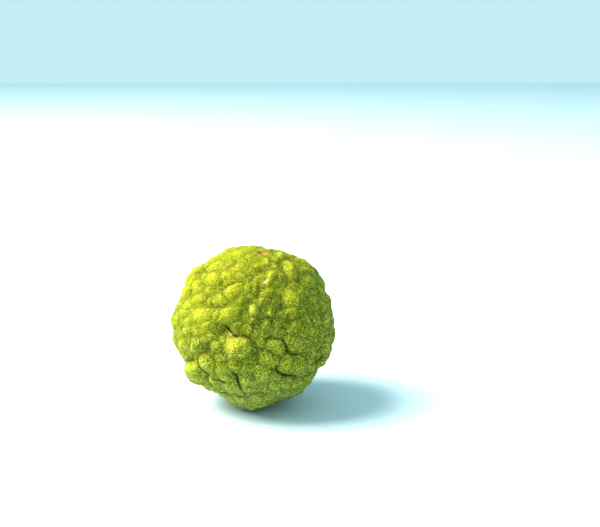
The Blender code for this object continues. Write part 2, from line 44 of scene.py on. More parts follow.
# The fruit's form. Places on the front face are across and up in millimetres, on a disc that leans back.
lime = {
    "ballSubdivisions": 6,
    "ballCuts": 2,
    "ballTurn": (math.radians(23), (1, 2, 0.5)),  # angle, axis
    "bodyRadius": 27.4 * mm,
    "centreHeight": 28.15 * mm,
    "bodyWave": (19 * mm, 0.7 * mm),  # length, rise
    "flatSpot": (5.5 * mm, 2.5 * mm),  # radius, width of its soft edge
    "faceLean": math.radians(16),
    "faceRadius": 29 * mm,
    "faceEdge": 0.995,  # places further out than this share of the disc are drawn in
    "leastForeshortening": 0.5,
    "stem": (3.0, 26.0),
    "scarRadius": 1.5 * mm,
    "scarDepth": 0.25 * mm,
    "scarRimRise": 0.3 * mm,
    "scarRim": (1.15, 0.3),  # where it stands and its width, in scar radii
    "scarEnds": (1.6, 2.2),  # where the warts start and where the rim ends, in scar radii
    "swellingDepth": 2.5,  # in half widths, away from the face disc
    "swellings": [  # across, up, half width, rise; those under nought are hollows
        (22, 19.5, 5, 1.4),
        (-22.5, 19.5, 5, 1.0),
        (-27.5, 12.5, 4, -1.2),
        (-27, -11.8, 3, -3.8),
        (-24, -17, 4, 1.0),
        (-14, -26, 7, -2.3),
        (-1, -29, 4, 0.4),
        (9, -28, 5, -1.7),
        (22, -19, 6, -1.2),
        (24.6, -16.4, 2, -1.4),
        (-5, 29, 6, 0.5),
        (-10.0, -1.7, 2.8, -1.9),
        (-3.6, -2.2, 1.7, -0.9),
        (-16.0, -6.8, 1.5, -0.9),
        (1.8, -5.0, 1.9, -1.2),
        (0.6, -9.6, 1.7, -1.1),
        (-18.6, -8.4, 1.7, -0.8),
        (-21.6, -11.0, 1.4, -0.8),
        (-3.2, 4.4, 1.7, -0.9),
        (0.9, 10.4, 1.6, -0.8),
        (-0.8, 8.2, 1.2, -0.5),
        (2.8, 18.8, 1.5, -0.7),
        (-0.4, 16.4, 1.4, -0.6),
        (3.2, 23.0, 1.5, -0.6),
        (9.0, 12.0, 1.8, -0.5),
        (9.2, 6.6, 1.6, -0.6),
        (12.0, 15.0, 1.6, -0.7),
        (15.8, 15.4, 1.4, -0.6),
        (11.4, 1.6, 1.6, -0.4),
        (-10.7, 14.6, 1.5, -0.7),
        (-18.0, 18.0, 1.8, -0.5),
        (-5.8, 22.6, 1.4, -0.4),
        (23.0, 5.2, 1.4, -0.5),
        (-7.4, -16.4, 1.5, -0.6),
        (-16.9, -16.6, 1.3, -0.6),
    ],
    "warts": [  # across, up, half length, half width, turn in degrees, rise
        # crown
        (-12.8, 24.8, 4.2, 1.8, 38, 1.2),
        (-5.5, 27.4, 3.2, 1.3, 15, 1.0),
        (-4.3, 25.2, 3.8, 1.7, 22, 1.1),
        (0.3, 28.4, 2.2, 1.2, 0, 1.3),
        (5.6, 27.4, 2.3, 1.2, -10, 1.0),
        (-0.9, 23.6, 1.9, 1.8, 0, 1.1),
        (-3.4, 22.8, 1.9, 1.7, 0, 1.0),
        (-4.6, 20.2, 3.6, 1.7, 5, 1.2),
        (2.1, 20.9, 2.6, 1.7, 25, 1.0),
        (7.8, 23.3, 1.8, 1.7, 0, 1.0),
        (10.0, 24.9, 2.6, 1.6, -50, 1.5),
        (13.0, 19.4, 3.6, 2.2, 98, 1.8),
        (13.6, 25.0, 2.2, 1.3, -40, 1.0),
        (17.6, 22.3, 3.0, 1.7, -32, 1.6),
        (18.0, 19.3, 2.3, 1.7, -20, 1.1),
        # left brow
        (-13.4, 21.0, 3.7, 2.1, 20, 1.2),
        (-20.1, 19.8, 2.9, 2.4, 28, 1.5),
        (-13.8, 16.4, 3.1, 2.6, 20, 1.6),
        (-23.0, 16.8, 2.0, 1.9, 0, 1.2),
        (-19.2, 14.0, 2.5, 1.9, 85, 1.5),
        (-24.5, 12.3, 3.1, 2.4, 20, 1.6),
        (-8.7, 18.0, 2.8, 1.7, 5, 1.1),
        (-8.6, 15.7, 2.4, 1.7, 10, 0.8),
        (-18.8, 9.4, 3.3, 2.0, 30, 1.3),
        (-22.6, 7.4, 3.1, 1.9, 35, 1.1),
        (-26.4, 8.8, 2.7, 1.6, 75, 1.3),
        (-14.0, 9.4, 2.5, 1.7, 10, 0.8),
        # middle
        (-4.2, 17.4, 2.0, 1.7, 0, 1.1),
        (-0.6, 19.0, 2.2, 1.7, 0, 0.9),
        (6.0, 16.8, 2.7, 1.8, 55, 1.5),
        (9.0, 17.1, 2.0, 1.7, 0, 1.0),
        (-7.0, 12.0, 3.9, 2.3, 25, 1.5),
        (-11.2, 9.2, 3.0, 2.3, 10, 1.3),
        (-1.9, 13.0, 2.2, 2.0, 25, 1.2),
        (-4.4, 9.0, 2.0, 1.7, 0, 0.8),
        (8.0, 14.8, 2.4, 1.7, 0, 0.8),
        (4.7, 11.7, 2.3, 1.8, 0, 1.3),
        (3.2, 9.2, 2.2, 1.7, 40, 1.1),
        (0.0, 5.6, 2.1, 2.0, 0, 1.9),
        (2.9, 4.0, 1.9, 1.7, 0, 0.9),
        (5.9, 5.4, 2.1, 1.7, 85, 1.1),
        (7.1, 8.6, 2.2, 1.7, 0, 0.8),
        (0.1, 2.3, 1.9, 1.7, 0, 0.9),
        (3.9, 0.2, 2.2, 1.7, 80, 1.4),
        (8.7, 0.9, 1.9, 1.7, 0, 0.8),
        # left cheek
        (-17.0, 4.4, 3.6, 2.6, 10, 1.6),
        (-24.0, 5.2, 2.1, 1.9, 0, 1.2),
        (-12.4, 4.2, 2.0, 1.9, 0, 1.2),
        (-8.6, 4.2, 3.7, 3.0, 20, 1.8),
        (-15.6, 1.4, 3.6, 1.8, 12, 1.0),
        (-22.6, 2.0, 2.6, 1.7, 20, 0.9),
        (-27.0, 2.8, 2.8, 1.5, 85, 1.1),
        (-5.6, 0.9, 2.0, 1.7, -20, 0.8),
        (-1.7, -1.6, 2.5, 2.0, -20, 1.2),
        (-12.3, -1.2, 2.4, 2.0, 0, 0.7),
        (-22.8, -0.7, 2.2, 2.0, 0, 1.2),
        (-19.0, -1.3, 2.3, 1.7, 0, 0.9),
        (-15.4, -3.9, 2.3, 1.7, 0, 0.8),
        (-19.4, -6.2, 3.6, 2.8, 40, 1.9),
        (-25.0, -6.0, 2.8, 1.7, 80, 1.3),
        (-28.0, -4.0, 4.4, 1.2, 98, 1.0),
        (-23.0, -8.2, 1.9, 1.7, 0, 0.9),
        # the most prominent wart and those under it
        (-5.3, -6.9, 4.3, 3.5, -5, 2.8),
        (-12.9, -6.8, 2.3, 2.1, 0, 1.2),
        (-2.0, -11.2, 2.4, 1.6, 0, 0.9),
        (-16.2, -12.3, 3.8, 2.9, -55, 2.0),
        (-11.4, -14.2, 3.2, 2.6, 0, 1.4),
        (-11.2, -10.8, 2.4, 1.9, 0, 1.2),
        (-6.4, -12.7, 2.7, 2.5, 0, 1.3),
        (-2.3, -13.7, 2.2, 1.9, 0, 1.1),
        # right cheek
        (13.0, 9.1, 3.4, 3.0, 90, 1.9),
        (12.6, 5.5, 2.4, 1.8, 80, 1.7),
        (16.3, 11.0, 2.0, 1.4, 80, 1.2),
        (14.0, 14.4, 2.6, 1.4, 0, 0.9),
        (19.2, 15.4, 3.0, 2.1, 0, 1.2),
        (21.2, 11.6, 1.9, 1.4, 0, 1.0),
        (21.3, 8.8, 2.2, 1.8, 0, 1.2),
        (24.6, 7.3, 2.1, 1.8, 0, 1.3),
        (16.4, 6.4, 2.1, 1.5, 85, 0.9),
        (13.7, -0.7, 3.0, 2.1, 40, 1.3),
        (17.9, 2.2, 2.3, 2.1, 0, 1.4),
        (21.8, 2.5, 2.3, 2.0, 90, 1.3),
        (26.0, 2.3, 2.9, 2.0, 75, 1.4),
        (20.4, -1.8, 2.0, 1.9, 0, 1.6),
        (8.2, -2.4, 2.1, 1.5, 0, 1.0),
        (23.5, -3.4, 3.2, 1.5, 85, 0.9),
        (26.4, 10.2, 3.0, 1.5, -65, 1.2),
        (23.9, 15.0, 2.7, 1.6, -60, 1.1),
        # right jaw
        (7.0, -6.5, 3.9, 2.5, -15, 1.6),
        (13.8, -5.6, 4.0, 3.0, -25, 1.4),
        (4.6, -10.9, 3.4, 2.6, -20, 1.6),
        (10.9, -12.2, 3.6, 2.5, 90, 1.8),
        (15.4, -13.2, 3.5, 2.5, 80, 1.3),
        (20.0, -9.0, 3.7, 2.1, 85, 1.3),
        (25.5, -7.4, 3.5, 1.7, 80, 1.5),
        (24.1, -12.8, 3.0, 1.7, 60, 1.8),
        (20.1, -14.2, 2.1, 1.8, 0, 1.3),
        # chin
        (2.9, -15.5, 3.2, 2.8, 70, 1.7),
        (6.3, -16.6, 1.9, 2.1, 0, 1.2),
        (-2.8, -18.1, 3.0, 2.3, 0, 1.6),
        (-9.6, -17.3, 3.2, 1.9, -15, 1.4),
        (-14.5, -18.6, 2.6, 2.1, 0, 1.6),
        (-8.9, -21.4, 3.6, 2.1, -10, 1.4),
        (-13.8, -21.6, 2.0, 1.7, 0, 1.0),
        (-2.5, -21.7, 2.5, 1.5, 0, 1.1),
        (2.1, -21.2, 2.5, 1.4, 0, 1.0),
        (7.2, -20.5, 2.2, 1.8, 0, 1.1),
        (10.7, -19.3, 2.5, 2.1, 0, 1.6),
        (14.6, -19.9, 2.6, 1.9, 0, 1.4),
        (18.7, -18.4, 2.8, 1.5, 45, 1.2),
        (-21.7, -14.7, 3.2, 2.6, 0, 2.0),
        (-20.2, -17.9, 3.1, 1.8, -20, 1.5),
        (-18.2, -21.0, 2.7, 1.3, -25, 1.0),
        (0.3, -25.0, 3.2, 1.6, 0, 1.3),
        (-5.4, -25.7, 3.0, 1.8, -10, 1.3),
        (-1.0, -28.2, 2.6, 1.3, 0, 1.0),
        (5.6, -24.8, 2.5, 1.4, 0, 1.0),
        (10.3, -23.9, 2.8, 1.7, 10, 1.2),
        (15.6, -23.0, 2.6, 1.6, 30, 1.1),
    ],
    "creases": [  # depth, then the places that each runs through
        (1.1, [(-9.6, 1.1), (-8.2, -0.9), (-6.6, -2.5), (-4.6, -2.9)]),
        (0.4, [(-5.6, -2.7), (-1.6, -3.4), (1.0, -6.2), (0.8, -9.4)]),
        (0.85, [(-20.2, -10.6), (-18.5, -13.9), (-16.8, -16.6)]),
        (0.8, [(-17.2, -16.0), (-16.2, -19.2), (-16.3, -22.0), (-12.4, -23.8), (-8.7, -25.4)]),
        (0.85, [(-15.4, -17.0), (-12.4, -18.4), (-9.8, -19.8)]),
        (0.85, [(-8.2, -14.9), (-6.6, -16.6), (-5.6, -20.0), (-3.9, -23.2), (-0.6, -23.0)]),
        (0.4, [(-9.4, -25.6), (-7.1, -24.2), (-2.2, -24.1), (1.8, -22.9), (6.4, -24.0)]),
        (0.9, [(7.4, -12.4), (7.9, -15.4), (9.4, -16.9), (12.4, -16.7), (15.0, -17.8)]),
        (0.4, [(15.6, -17.9), (19.7, -16.9), (23.0, -15.7)]),
        (0.5, [(20.7, -14.5), (22.9, -12.3), (24.6, -9.8)]),
        (0.6, [(8.4, -4.3), (10.0, -5.8), (10.6, -7.8), (13.2, -9.5), (16.8, -9.3)]),
        (0.4, [(2.8, -4.2), (5.6, -3.8), (8.6, -4.3)]),
        (0.4, [(-24.6, -11.2), (-21.2, -11.9)]),
        (0.3, [(-17.4, 23.1), (-17.2, 20.6), (-16.4, 17.9)]),
        (0.3, [(-13.4, 12.2), (-8.7, 13.9), (-5.8, 14.7), (1.1, 14.5)]),
        (0.25, [(-19.6, 6.3), (-15.8, 7.2), (-12.7, 6.8), (-5.8, 6.3)]),
        (0.25, [(-26.0, 5.8), (-22.1, 10.8), (-21.1, 13.7)]),
        (0.3, [(2.2, 15.4), (2.3, 12.6), (1.4, 9.6)]),
        (0.25, [(9.4, 11.8), (9.7, 8.6), (9.9, 5.2)]),
    ],
    "wrinkleTries": 260,  # drawn creases on the sides that the placed ones leave bare
    "wrinkleSeed": 7,
    "wrinkleDepth": (0.2, 0.6),  # millimetres, least and most
    "wrinkleStep": 2.4 * mm,
    "wrinkleSteps": (2, 7),
    "wrinklePlaces": 3,  # those with fewer are dropped
    "wrinkleBend": math.radians(30),
    "wrinkleSpacing": 4.2 * mm,
    "wrinkleLimit": 0.3,  # how far they come round to the front, as a cosine
    "creaseHalfWidth": 0.45 * mm,
    "creaseTaper": 4,  # higher keeps a crease deep nearer to its ends
    "drawn": [  # tries, least and most half length
        (1200, 3.2, 3.9),
        (4000, 2.5, 3.2),
        (8000, 1.8, 2.4),
    ],
    "wartSeed": 41,
    "noiseSeed": 1,
    "spacing": 0.82,  # in sums of two sizes
    "scarSpacing": 0.6,  # in sizes
    "narrowest": 0.62,
    "riseShare": 0.44,  # how high the drawn ones rise, in sizes
    "riseSpread": (0.8, 1.2),
    "stemRidges": (math.radians(34), 0.5, 0.25),  # reach, how narrow they are, spread of their turn
    "bellReach": 1.45,  # in half lengths
    "bellPower": 1.5,
    "boldness": 1.2,  # multiplies every rise
    "tallest": 4.0 * mm,  # above every bell
    "lowest": -0.1 * mm,  # where there is no bell
    "meeting": (0.08 * mm, 0.42 * mm),  # sharpest and softest
    "softShare": (0.5, 0.45, 0.6),  # everywhere, more towards the top, more in patches
    "softPatch": 14 * mm,
    "furrow": (0.4 * mm, 0.2 * mm),  # depth, and the difference in height over which it fades
    "furrowStart": 0.6 * mm,
    "valleyWidth": 0.5 * mm,
    "furrowFading": 0.85,  # where warts meet softly
    "outlineWaves": [(5.0 * mm, 1.1 * mm), (2.2 * mm, 0.45 * mm)],  # length, wander
    "knobs": [(2.2 * mm, 0.14 * mm), (1.2 * mm, 0.08 * mm)],  # spacing, rise
    "knobEdge": 0.75,  # in spacings, where a knob is back at nought
    "knobShift": 5.0,
    "ripples": (3.2 * mm, 0.10 * mm),  # length, rise
    "sideRipples": (4.6 * mm, 0.45 * mm),  # away from the placed warts
    "sideStart": (0.6, 2.0),  # how far round they start, how fast they grow
    "sideShift": 3.0,
}


def faceAxes():
    lean = lime["faceLean"]
    level = Vector((1, 0, 0))
    up = Vector((0, math.sin(lean), math.cos(lean)))
    outward = Vector((0, -math.cos(lean), math.sin(lean)))
    return level, up, outward


# direction from the middle of the fruit to a place on its front face
def onFace(across, up):
    level, upward, outward = faceAxes()
    radius = lime["faceRadius"]
    rim = lime["faceEdge"] * radius
    x, y = across * mm, up * mm
    offCentre = math.hypot(x, y)
    if offCentre > rim:
        x, y = (v * rim / offCentre for v in (x, y))
    depth = math.sqrt(radius**2 - x * x - y * y)
    return (x * level + y * upward + depth * outward).normalized()


# a wart set out on the disc; its oval spreads where the ball curves away
def faceWart(across, up, halfLength, halfWidth, turn, rise):
    level, upward, outward = faceAxes()
    centre = onFace(across, up)
    bearing = math.atan2(up, across)
    rim = math.cos(bearing) * level + math.sin(bearing) * upward
    sideways = outward.cross(rim).normalized()
    outwards = sideways.cross(centre).normalized()
    shown = max(centre.dot(outward), lime["leastForeshortening"])
    swing = math.radians(turn) - bearing
    along = shown * math.cos(swing) * outwards + math.sin(swing) * sideways
    acrossIt = -shown * math.sin(swing) * outwards + math.cos(swing) * sideways
    return {
        "centre": centre,
        "along": along / (halfLength * mm),
        "across": acrossIt / (halfWidth * mm),
        "rise": rise * mm,
        "size": math.sqrt(halfLength * halfWidth / shown) * mm,
        "reach": max(halfLength, halfWidth) / shown * mm,
    }


# a wart of the rule; near the stem it is narrow and runs down from it
def drawnWart(centre, halfLength, rng, stem):
    downhill = centre.cross(stem).cross(centre)
    ridgeReach, ridgeWidth, ridgeSpread = lime["stemRidges"]
    if centre.angle(stem) < ridgeReach:
        turn, share = rng.gauss(0, ridgeSpread), ridgeWidth
    else:
        turn = rng.uniform(0, math.pi)
        share = rng.uniform(lime["narrowest"], 1)
    lengthAxis = Matrix.Rotation(turn, 3, centre) @ downhill.normalized()
    halfWidth = halfLength * share
    size = math.sqrt(halfLength * halfWidth)
    return {
        "centre": centre,
        "along": lengthAxis / halfLength,
        "across": centre.cross(lengthAxis) / halfWidth,
        "rise": lime["riseShare"] * size * rng.uniform(*lime["riseSpread"]),
        "size": size,
        "reach": halfLength,
    }


def anyDirection(rng):
    height = rng.uniform(-1, 1)
    turn = rng.uniform(0, 2 * math.pi)
    level = math.sqrt(1 - height * height)
    return Vector((level * math.cos(turn), level * math.sin(turn), height))


# the placed warts, and drawn ones wherever there is room
def allWarts():
    rng = random.Random(lime["wartSeed"])
    stem = onFace(*lime["stem"])
    warts = [faceWart(*row) for row in lime["warts"]]
    centres = np.array([wart["centre"] for wart in warts])
    sizes = np.array([wart["size"] for wart in warts])
    for tries, least, most in lime["drawn"]:
        for _ in range(tries):
            centre = anyDirection(rng)
            wart = drawnWart(centre, rng.uniform(least, most) * mm, rng, stem)
            apart = np.arccos(np.minimum(centres @ np.array(centre), 1)) * lime["faceRadius"]
            fromScar = centre.angle(stem) * lime["faceRadius"] - lime["scarRadius"]
            roomy = apart > lime["spacing"] * (sizes + wart["size"])
            if fromScar > lime["scarSpacing"] * wart["size"] and roomy.all():
                warts.append(wart)
                centres = np.vstack([centres, centre])
                sizes = np.append(sizes, wart["size"])
    print("warts:", len(lime["warts"]), "placed,", len(warts) - len(lime["warts"]), "drawn")
    return warts


# smooth noise over the ball, between -1 and 1, at a wave length
def ballNoise(directions, length, basis="PERLIN_ORIGINAL", shift=0.0):
    places = directions * (lime["faceRadius"] / length) + shift
    return np.array([noise.noise(Vector(place), noise_basis=basis) for place in places])


# the same directions shifted a little, so that outlines made from them aren't true ovals
def wandered(directions):
    moved = directions.copy()
    for length, wander in lime["outlineWaves"]:
        places = directions * (lime["faceRadius"] / length)
        shifts = np.array([noise.noise_vector(Vector(place)) for place in places])
        moved += shifts * (wander / lime["faceRadius"])
    return moved / np.linalg.norm(moved, axis=1)[:, None]


# how softly warts melt into one another, from 0 to 1
def meetingShare(directions):
    everywhere, towardsTop, inPatches = lime["softShare"]
    patches = ballNoise(directions, lime["softPatch"])
    return np.clip(everywhere + towardsTop * directions[:, 2] + inPatches * patches, 0, 1)


# bells that melt together where they meet, how deep the furrow between the two
# highest bells is, and how near each place is to such a valley
def wartRelief(directions, warts):
    share = meetingShare(directions)
    sharpest, softest = lime["meeting"]
    softness = sharpest + (softest - sharpest) * share
    total = np.exp((lime["lowest"] - lime["tallest"]) / softness)
    highest, second = np.zeros(len(directions)), np.zeros(len(directions))
    for wart in warts:
        reach = lime["bellReach"] * wart["reach"] / lime["faceRadius"]
        near = np.flatnonzero(directions @ np.array(wart["centre"]) > math.cos(reach))
        local = directions[near] * (lime["faceRadius"] / lime["bellReach"])
        along, across = local @ np.array(wart["along"]), local @ np.array(wart["across"])
        rounded = np.clip(1 - along**2 - across**2, 0, 1) ** lime["bellPower"]
        bell = lime["boldness"] * wart["rise"] * rounded
        total[near] += np.exp((bell - lime["tallest"]) / softness[near])
        second[near] = np.maximum(second[near], np.minimum(highest[near], bell))
        highest[near] = np.maximum(highest[near], bell)
    depth, width = lime["furrow"]
    furrow = depth * np.exp(-(((highest - second) / width) ** 2))
    furrow *= np.clip(second / lime["furrowStart"], 0, 1) * (1 - lime["furrowFading"] * share)
    between = np.exp(-(((highest - second) / lime["valleyWidth"]) ** 2))
    between *= np.clip(second / lime["furrowStart"], 0, 1)
    return lime["tallest"] + softness * np.log(total), furrow, between


# wrinkles that wander over the sides and the back, and stop short of one another
def drawnCreases():
    rng = random.Random(lime["wrinkleSeed"])
    outward = faceAxes()[2]
    nearest = math.cos(lime["wrinkleSpacing"] / lime["faceRadius"])
    creases, taken = [], []
    for _ in range(lime["wrinkleTries"]):
        place = anyDirection(rng)
        turn = Matrix.Rotation(rng.uniform(0, 2 * math.pi), 3, place)
        heading = turn @ place.orthogonal().normalized()
        route = []
        for _ in range(rng.randint(*lime["wrinkleSteps"])):
            onFront = place.dot(outward) > lime["wrinkleLimit"]
            if onFront or any(place.dot(other) > nearest for other in taken):
                break
            route.append(place)
            heading.rotate(Matrix.Rotation(rng.gauss(0, lime["wrinkleBend"]), 3, place))
            place = (place + heading * (lime["wrinkleStep"] / lime["faceRadius"])).normalized()
            heading = (heading - heading.dot(place) * place).normalized()
        if len(route) >= lime["wrinklePlaces"]:
            taken += route
            creases.append((rng.uniform(*lime["wrinkleDepth"]), route))
    print("wrinkles drawn:", len(creases))
    return creases


# grooves along every crease, deepest half way and gone at its ends
def creaseDepth(directions):
    creases = [(deepest, [onFace(*place) for place in route]) for deepest, route in lime["creases"]]
    creases += drawnCreases()
    places = directions * lime["faceRadius"]
    depth = np.zeros(len(directions))
    for deepest, route in creases:
        points = [np.array(place) * lime["faceRadius"] for place in route]
        last = len(points) - 1
        for step, (start, end) in enumerate(zip(points, points[1:])):
            run = end - start
            share = np.clip((places - start) @ run / (run @ run), 0, 1)
            gap = np.linalg.norm(places - start - share[:, None] * run, axis=1)
            fading = 1 - (2 * (step + share) / last - 1) ** lime["creaseTaper"]
            groove = deepest * mm * fading * np.exp(-((gap / lime["creaseHalfWidth"]) ** 2))
            depth = np.maximum(depth, groove)
    return depth


def arcFrom(directions, across, up):
    towards = np.array(onFace(across, up))
    return np.arccos(np.clip(directions @ towards, -1, 1)) * lime["faceRadius"]


# the ball with its broad swellings and hollows
def bodyRadius(directions):
    length, rise = lime["bodyWave"]
    radius = lime["bodyRadius"] + rise * ballNoise(directions, length)
    outward = np.array(faceAxes()[2])
    for across, up, halfWidth, swell in lime["swellings"]:
        offset = (directions - np.array(onFace(across, up))) * lime["faceRadius"]
        depth = offset @ outward
        level = (offset**2).sum(axis=1) - depth**2
        gap = level + (depth / lime["swellingDepth"]) ** 2
        radius += swell * mm * np.exp(-gap / (halfWidth * mm) ** 2)
    return radius


# ripples, and small knobs on every wart, each a cell that bulges in its middle
def knobRelief(directions, moved):
    rippleLength, rippleRise = lime["ripples"]
    relief = rippleRise * ballNoise(directions, rippleLength)
    rippleLength, rippleRise = lime["sideRipples"]
    start, steepness = lime["sideStart"]
    away = np.clip(start - steepness * directions @ np.array(faceAxes()[2]), 0, 1)
    relief += rippleRise * away * ballNoise(moved, rippleLength, shift=lime["sideShift"])
    for spacing, rise in lime["knobs"]:
        fromMiddle = (ballNoise(moved, spacing, "VORONOI_F1", lime["knobShift"]) + 1) / 2
        relief += rise * (1 - (fromMiddle / lime["knobEdge"]) ** 2)
    return relief


# the stem scar: a shallow pit in a low rim, and how far each place is inside it
def scarRelief(gap):
    rimAt, rimWidth = lime["scarRim"]
    wartsStart, rimEnd = lime["scarEnds"]
    inside = np.clip(wartsStart - gap, 0, 1)
    pit = -lime["scarDepth"] * np.clip(1 - gap**2, 0, 1)
    rim = lime["scarRimRise"] * np.exp(-(((gap - rimAt) / rimWidth) ** 2))
    return (pit + rim) * np.clip(rimEnd - gap, 0, 1), inside


def pressedFlat(points):
    radius, blend = lime["flatSpot"]
    offAxis = np.hypot(points[:, 0], points[:, 1])
    share = np.clip((offAxis - radius) / blend, 0, 1)
    height = np.maximum(points[:, 2], 0)
    underside = points[:, 2] < lime["centreHeight"] / 2
    points[:, 2] = np.where(underside, height * share, height)
    return points


# what the rind's paint reads: how high each place stands, where light and shade are painted on it, and
# where it is ripe, flecked or stained
rindMarks = {
    "litSide": (-0.62, 0.0, 0.78),  # the side painted as lit, towards the light
    "lightAndRipeness": (0.5, 0.4),  # painted light: in the middle, more on the lit side
    "stains": [  # across, up, half width, strength
        (-8.5, 20.5, 1.0, 1.0),
        (2.2, 26.2, 1.0, 0.7),
        (4.2, 25.8, 0.9, 0.7),
        (-7.6, -2.3, 0.9, 0.5),
        (-23.3, -7.6, 1.0, 0.4),
    ],
    "glintsAndPale": [  # the same, for whitish spots: all but the last are painted glints, the last is a dry spot
        (3.9, 15.1, 0.55, 0.8),
        (0.3, 28.8, 0.6, 0.8),
        (-0.8, 6.0, 0.8, 0.15),
        (-23.6, -6.6, 0.7, 0.35),
        (-8.0, -2.5, 0.4, 0.6),
    ],
    "ripeAndLitPatches": [  # the same, for yellower patches and, under nought, greener ones; they also tint lighter or darker, partly as painted light and shade
        (-5.9, -4.9, 2.2, 0.4),
        (-2.6, -9.2, 2.6, -0.25),
        (-12.2, 0.6, 2.6, -0.4),
        (1.6, 12.3, 1.6, -0.3),
        (13.0, 8.6, 2.6, 0.3),
        (12.8, 20.0, 2.2, 0.3),
        (8.4, 21.6, 2.0, -0.25),
        (-19.6, 18.4, 1.8, -0.3),
        (-5.0, 21.2, 2.2, -0.3),
        (-18.0, -5.4, 2.6, -0.35),
        (-21.4, -15.2, 2.4, 0.3),
        (-15.0, 4.0, 4.0, 0.15),
        (5.5, 17.6, 1.6, 0.2),
        (0.6, 0.4, 3.6, -0.4),
        (-5.6, -9.6, 2.6, -0.4),
        (5.8, 3.6, 3.0, -0.2),
        (-15.5, -9.5, 6.0, -0.3),
        (-20.0, -4.0, 4.0, -0.15),
        (9.5, -9.0, 5.0, 0.1),
        (-6.2, -4.6, 1.6, 0.25),
        (11.2, -11.6, 2.0, 0.2),
        (-22.0, -14.0, 2.2, 0.2),
        (-18.6, -5.6, 1.8, -0.2),
    ],
    "fineShare": 0.5,  # how much the knobs count in the painted height, and how much valleys lower it as painted shade
    "valleyShadeShare": 0.5,
    "middleHeight": 0.9,  # millimetres; heights are drawn towards it where evenness is low
    "evenness": (0.85, 0.4, 0.55),  # in the middle, more on the lit side, least; where it is low the hollows' painted shade is weaker
    # painted shade: how dark the creases and furrows are painted
    "creaseShadeShare": 1.3,
    "furrowShadeShare": 0.8,
    "flecks": (0.75, 0.35, 0.9),  # in the middle, less on the lit side, most
    "flecksBehind": (0.8, 0.65),  # at the sides, and the least at the back
    "floorSheenStart": -0.2,  # how far down the underside takes a painted sheen of the floor's reflection
    "scarEnd": 1.7,  # in scar radii
}


def spots(directions, name):
    total = np.zeros(len(directions))
    for across, up, halfWidth, strength in rindMarks[name]:
        arc = arcFrom(directions, across, up)
        total += strength * np.exp(-((arc / (halfWidth * mm)) ** 2))
    return total


def addAttribute(mesh, name, values):
    layer = mesh.attributes.new(name, "FLOAT", "POINT")
    layer.data.foreach_set("value", values.astype(np.float32))


def markRind(mesh, directions, height, creaseShade, scarGap):
    litSide = np.array(Vector(rindMarks["litSide"]).normalized())
    # the height drives the hollows' painted shade; it is evened out away from the lit side
    middle, litGain, least = rindMarks["evenness"]
    evenness = np.clip(middle + litGain * directions @ litSide, least, 1)
    middleHeight = rindMarks["middleHeight"]
    addAttribute(mesh, "relief", middleHeight + (height - middleHeight) * evenness)
    # painted shade along creases and furrows
    addAttribute(mesh, "crease", creaseShade)
    # painted light and shade: highest on the lit side, with the ripeness patches added
    middle, litGain = rindMarks["lightAndRipeness"]
    lightAndRipeness = middle + litGain * directions @ litSide + spots(directions, "ripeAndLitPatches")
    addAttribute(mesh, "lightAndRipeness", np.clip(lightAndRipeness, 0, 1))
    middle, litLoss, most = rindMarks["flecks"]
    atSides, leastBehind = rindMarks["flecksBehind"]
    flecks = np.clip(middle - litLoss * directions @ litSide, 0, most)
    flecks *= np.clip(atSides - atSides * directions[:, 1], leastBehind, 1)
    addAttribute(mesh, "flecks", flecks)
    addAttribute(mesh, "stain", spots(directions, "stains"))
    # painted glints and one dry whitish spot
    addAttribute(mesh, "glintsAndPale", spots(directions, "glintsAndPale"))
    # a painted sheen of the floor's reflection, towards the bottom
    addAttribute(mesh, "floorSheen", np.clip(rindMarks["floorSheenStart"] - directions[:, 2], 0, 1))
    addAttribute(mesh, "scar", np.clip(rindMarks["scarEnd"] - scarGap, 0, 1))


# an even ball, turned so that none of its own corners lies on the fruit's axes
def makeBall():
    ball = bmesh.new()
    bmesh.ops.create_icosphere(ball, subdivisions=lime["ballSubdivisions"], radius=1.0)
    angle, axis = lime["ballTurn"]
    bmesh.ops.transform(ball, matrix=Matrix.Rotation(angle, 4, Vector(axis)), verts=ball.verts)
    bmesh.ops.subdivide_edges(ball, edges=ball.edges, cuts=lime["ballCuts"], use_grid_fill=True)
    for vert in ball.verts:
        vert.co.normalize()
    return ball


def makeRind():
    noise.seed_set(lime["noiseSeed"])
    rind = makeBall()
    directions = np.array([vert.co for vert in rind.verts])
    moved = wandered(directions)
    crease = creaseDepth(moved)
    bumps, furrow, between = wartRelief(moved, allWarts())
    scarGap = arcFrom(directions, *lime["stem"]) / lime["scarRadius"]
    scar, inside = scarRelief(scarGap)
    relief = (bumps - crease) * (1 - inside) + scar
    fine = (knobRelief(directions, moved) - furrow) * (1 - inside)
    points = directions * (bodyRadius(directions) + relief + fine)[:, None]
    points[:, 2] += lime["centreHeight"]
    for vert, point in zip(rind.verts, pressedFlat(points)):
        vert.co = point
    mesh = bpy.data.meshes.new("limeRind")
    rind.to_mesh(mesh)
    rind.free()
    mesh.shade_smooth()
    # the painted height: hollows and valleys come out darker, as painted shade
    height = relief / mm + rindMarks["fineShare"] * fine / mm - rindMarks["valleyShadeShare"] * between
    # painted shade along creases and furrows
    creaseShade = rindMarks["creaseShadeShare"] * crease / mm + rindMarks["furrowShadeShare"] * furrow / mm
    markRind(mesh, directions, height, creaseShade, scarGap)
    piece = bpy.data.objects.new("limeRind", mesh)
    bpy.context.scene.collection.objects.link(piece)
    print("rind modelled:", len(mesh.polygons), "faces")
    return piece


